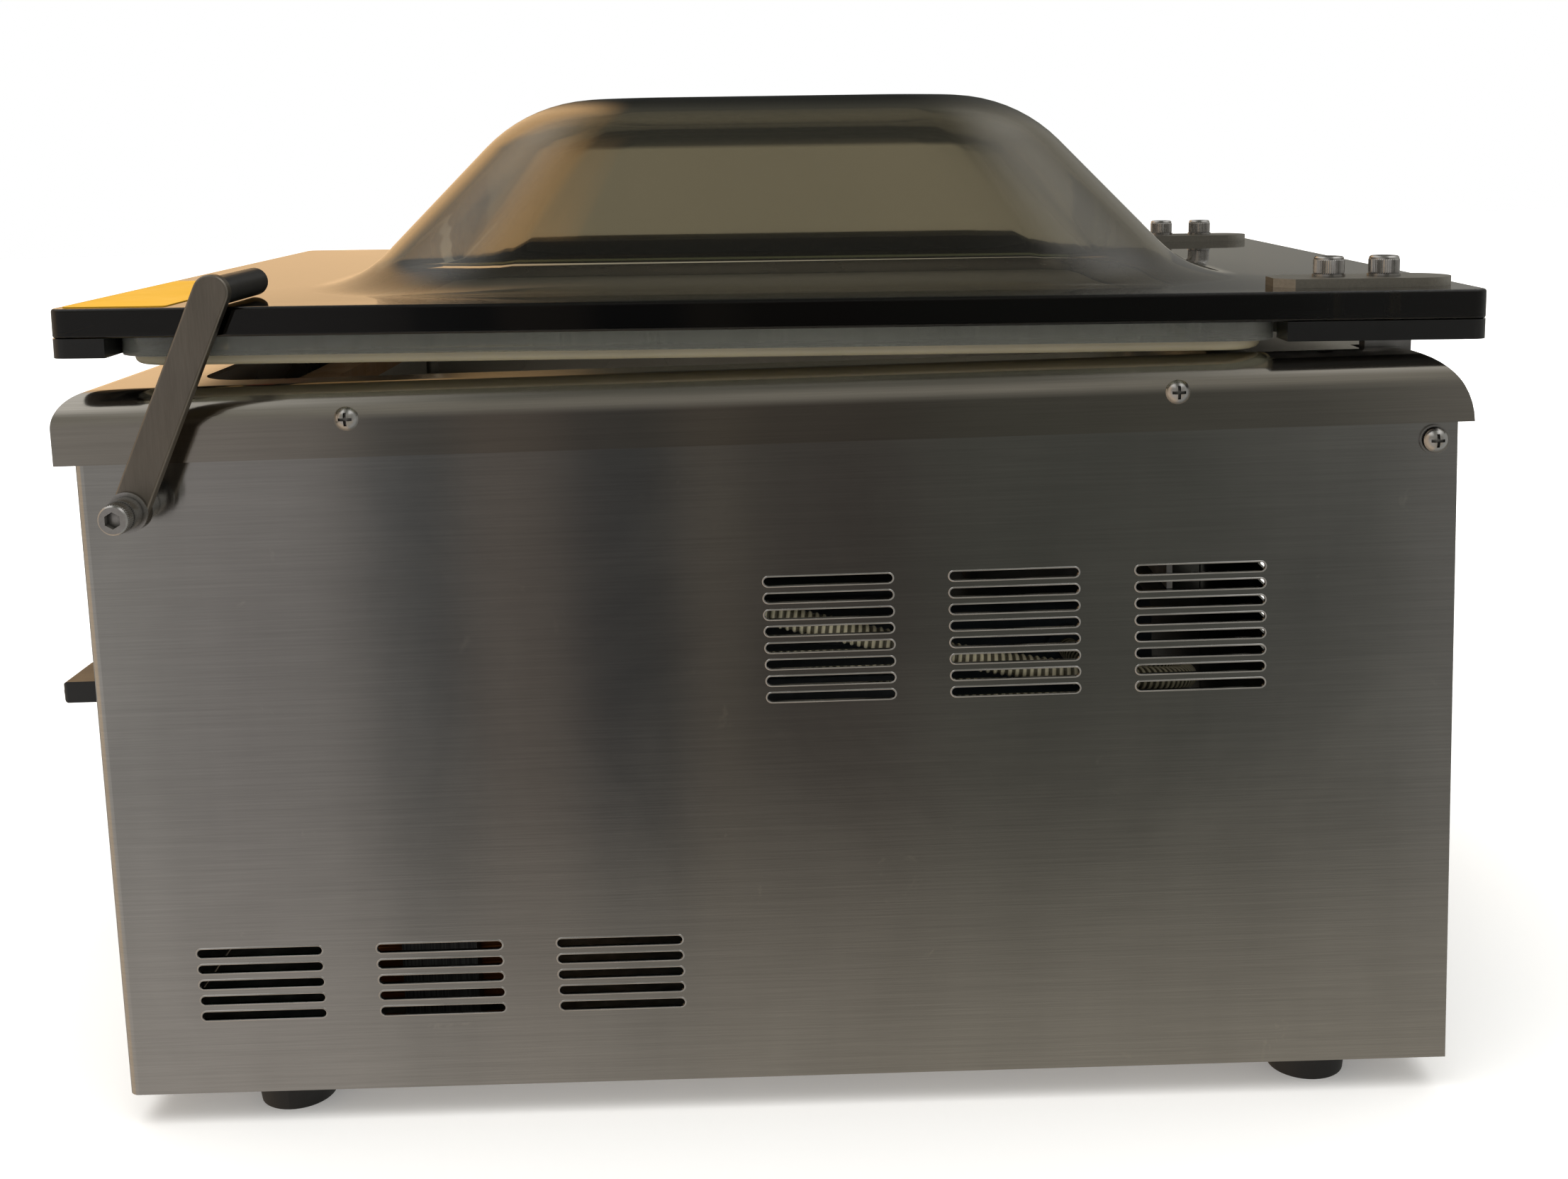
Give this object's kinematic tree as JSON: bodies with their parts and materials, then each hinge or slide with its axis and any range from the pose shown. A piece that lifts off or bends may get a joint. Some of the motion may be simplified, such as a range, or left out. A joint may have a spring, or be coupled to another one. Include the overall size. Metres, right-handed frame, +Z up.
{
  "type": "chamber vacuum sealer",
  "caption": "Tabletop chamber vacuum sealer with a blown smoked acrylic dome lid on rear hinges, a side lever, a stainless case and a pressed deck.",
  "frame": {"origin": "centre of the whole machine's bounding box in plan, on the plane under its feet", "axes": "+Z up, -Y towards the front with the control panel, +X towards the side with the lid lever"},
  "size_m": [0.3506, 0.5066, 0.3631],
  "materials": {
    "case_steel": "brushed stainless sheet, fine vertical grain",
    "deck_steel": "brushed stainless, pressed",
    "tub_steel": "drawn stainless",
    "zinc_plate": "galvanised sheet",
    "bright_steel": "bright fastener steel",
    "lever_steel": "dark ground flat bar",
    "black_rubber": "matte rubber",
    "black_plastic": "matte moulded plastic",
    "white_plastic": "cut polyethylene board",
    "grey_plastic": "moulded plastic",
    "red_plastic": "gloss moulded plastic",
    "green_plastic": "gloss moulded plastic",
    "smoked_acrylic": "polished smoked acrylic",
    "black_acrylic": "polished black acrylic",
    "clear_acrylic": "clear acrylic with sawn edges",
    "cream_silicone": "soft silicone",
    "red_silicone": "soft silicone",
    "anodised_bar": "extruded aluminium",
    "nichrome": "rolled resistance strip",
    "ptfe_tape": "woven heat-resistant tape",
    "bronze": "sintered bronze",
    "panel_film": "fine-grained panel film",
    "display_glass": "tinted window",
    "board_green": "printed board",
    "dial_white": "printed dial",
    "clear_glass": "clear lens",
    "label_yellow": "blank vinyl label",
    "cast_grey": "painted casting",
    "motor_grey": "ribbed casting",
    "filter_white": "painted can",
    "core_steel": "stacked laminations",
    "copper_wire": "enamelled winding",
    "hose_pvc": "clear hose with a wire coil"
  },
  "bodies": {
    "cabinet": {"case_shell": "case_steel", "rear_panel": "case_steel", "base_plate": "zinc_plate", "rubber_feet": "black_rubber", "foot_screws": "bright_steel", "deck_pan": "deck_steel", "chamber_tub": "tub_steel", "filler_plate": "white_plastic", "deck_screws": "bright_steel", "rear_panel_screws": "bright_steel", "hinge_shaft": "bright_steel", "hinge_brackets": "zinc_plate", "lid_springs": "bright_steel", "spring_anchors": "zinc_plate", "lever_spacers": "bright_steel", "lever_bolt": "bright_steel", "lever_nut": "bright_steel", "seal_cylinders": "anodised_bar", "control_panel": "panel_film", "display_window": "display_glass", "control_board": "board_green", "gauge_housing": "black_plastic", "gauge_dial": "dial_white", "gauge_lens": "clear_glass", "switch_body": "grey_plastic", "power_inlet": "black_plastic", "fuse_holder": "black_plastic", "pump_rails": "zinc_plate", "pump_body": "cast_grey", "pump_motor": "motor_grey", "exhaust_filter": "filter_white", "transformer_core": "core_steel", "transformer_coil": "copper_wire", "solenoid_valves": "grey_plastic", "vacuum_hose": "hose_pvc"},
    "lid": {"lid_cover": "smoked_acrylic", "lid_front_strip": "black_acrylic", "lid_rear_strip": "black_acrylic", "gasket_frame": "clear_acrylic", "lid_gasket": "cream_silicone", "counter_bar": "black_plastic", "counter_strip": "red_silicone", "hinge_plates": "deck_steel", "hinge_arms": "zinc_plate", "hinge_bushes": "bronze", "hinge_screws": "bright_steel", "hinge_washers": "bright_steel", "lid_label": "label_yellow"},
    "lever": {"lever_arm": "lever_steel", "lever_rod": "black_plastic"},
    "seal_bar": {"seal_bar": "anodised_bar", "heating_strip": "nichrome", "tape_cover": "ptfe_tape", "piston_rods": "bright_steel"},
    "gauge_pointer": {"gauge_needle": "black_plastic"},
    "main_switch": {"switch_knob": "black_plastic"},
    "button_1": {"push_button_1": "grey_plastic"},
    "button_2": {"push_button_2": "grey_plastic"},
    "button_3": {"push_button_3": "green_plastic"},
    "button_4": {"push_button_4": "red_plastic"}
  },
  "joints": [
    {"name": "lid_hinge", "type": "hinge", "parent": "cabinet", "child": "lid", "pos_m": [-0.01035, 0.22608, 0.2415], "axis": [-1, 0, 0], "range_deg": [-1.06, 57], "deforming": ["lid_springs"]},
    {"name": "lever_swing", "type": "hinge", "parent": "cabinet", "child": "lever", "pos_m": [0.15965, -0.20242, 0.228], "axis": [1, 0, 0], "range_deg": [0, 165]},
    {"name": "seal_bar_lift", "type": "slide", "parent": "cabinet", "child": "seal_bar", "axis": [0, 0, 1], "range_m": [0, 0.0075]},
    {"name": "gauge_pointer_turn", "type": "hinge", "parent": "cabinet", "child": "gauge_pointer", "pos_m": [-0.11435, -0.22592, 0.15], "axis": [0, -1, 0], "range_deg": [0, 270], "stiffness_Nm_per_rad": 0.001},
    {"name": "main_switch_turn", "type": "hinge", "parent": "cabinet", "child": "main_switch", "pos_m": [0.09365, -0.22592, 0.15], "axis": [0, -1, 0], "range_deg": [0, 90]},
    {"name": "button_1_press", "type": "slide", "parent": "cabinet", "child": "button_1", "axis": [0, 1, 0], "range_m": [0, 0.0012], "stiffness_N_per_m": 600},
    {"name": "button_2_press", "type": "slide", "parent": "cabinet", "child": "button_2", "axis": [0, 1, 0], "range_m": [0, 0.0012], "stiffness_N_per_m": 600},
    {"name": "button_3_press", "type": "slide", "parent": "cabinet", "child": "button_3", "axis": [0, 1, 0], "range_m": [0, 0.0012], "stiffness_N_per_m": 600},
    {"name": "button_4_press", "type": "slide", "parent": "cabinet", "child": "button_4", "axis": [0, 1, 0], "range_m": [0, 0.0012], "stiffness_N_per_m": 600}
  ]
}
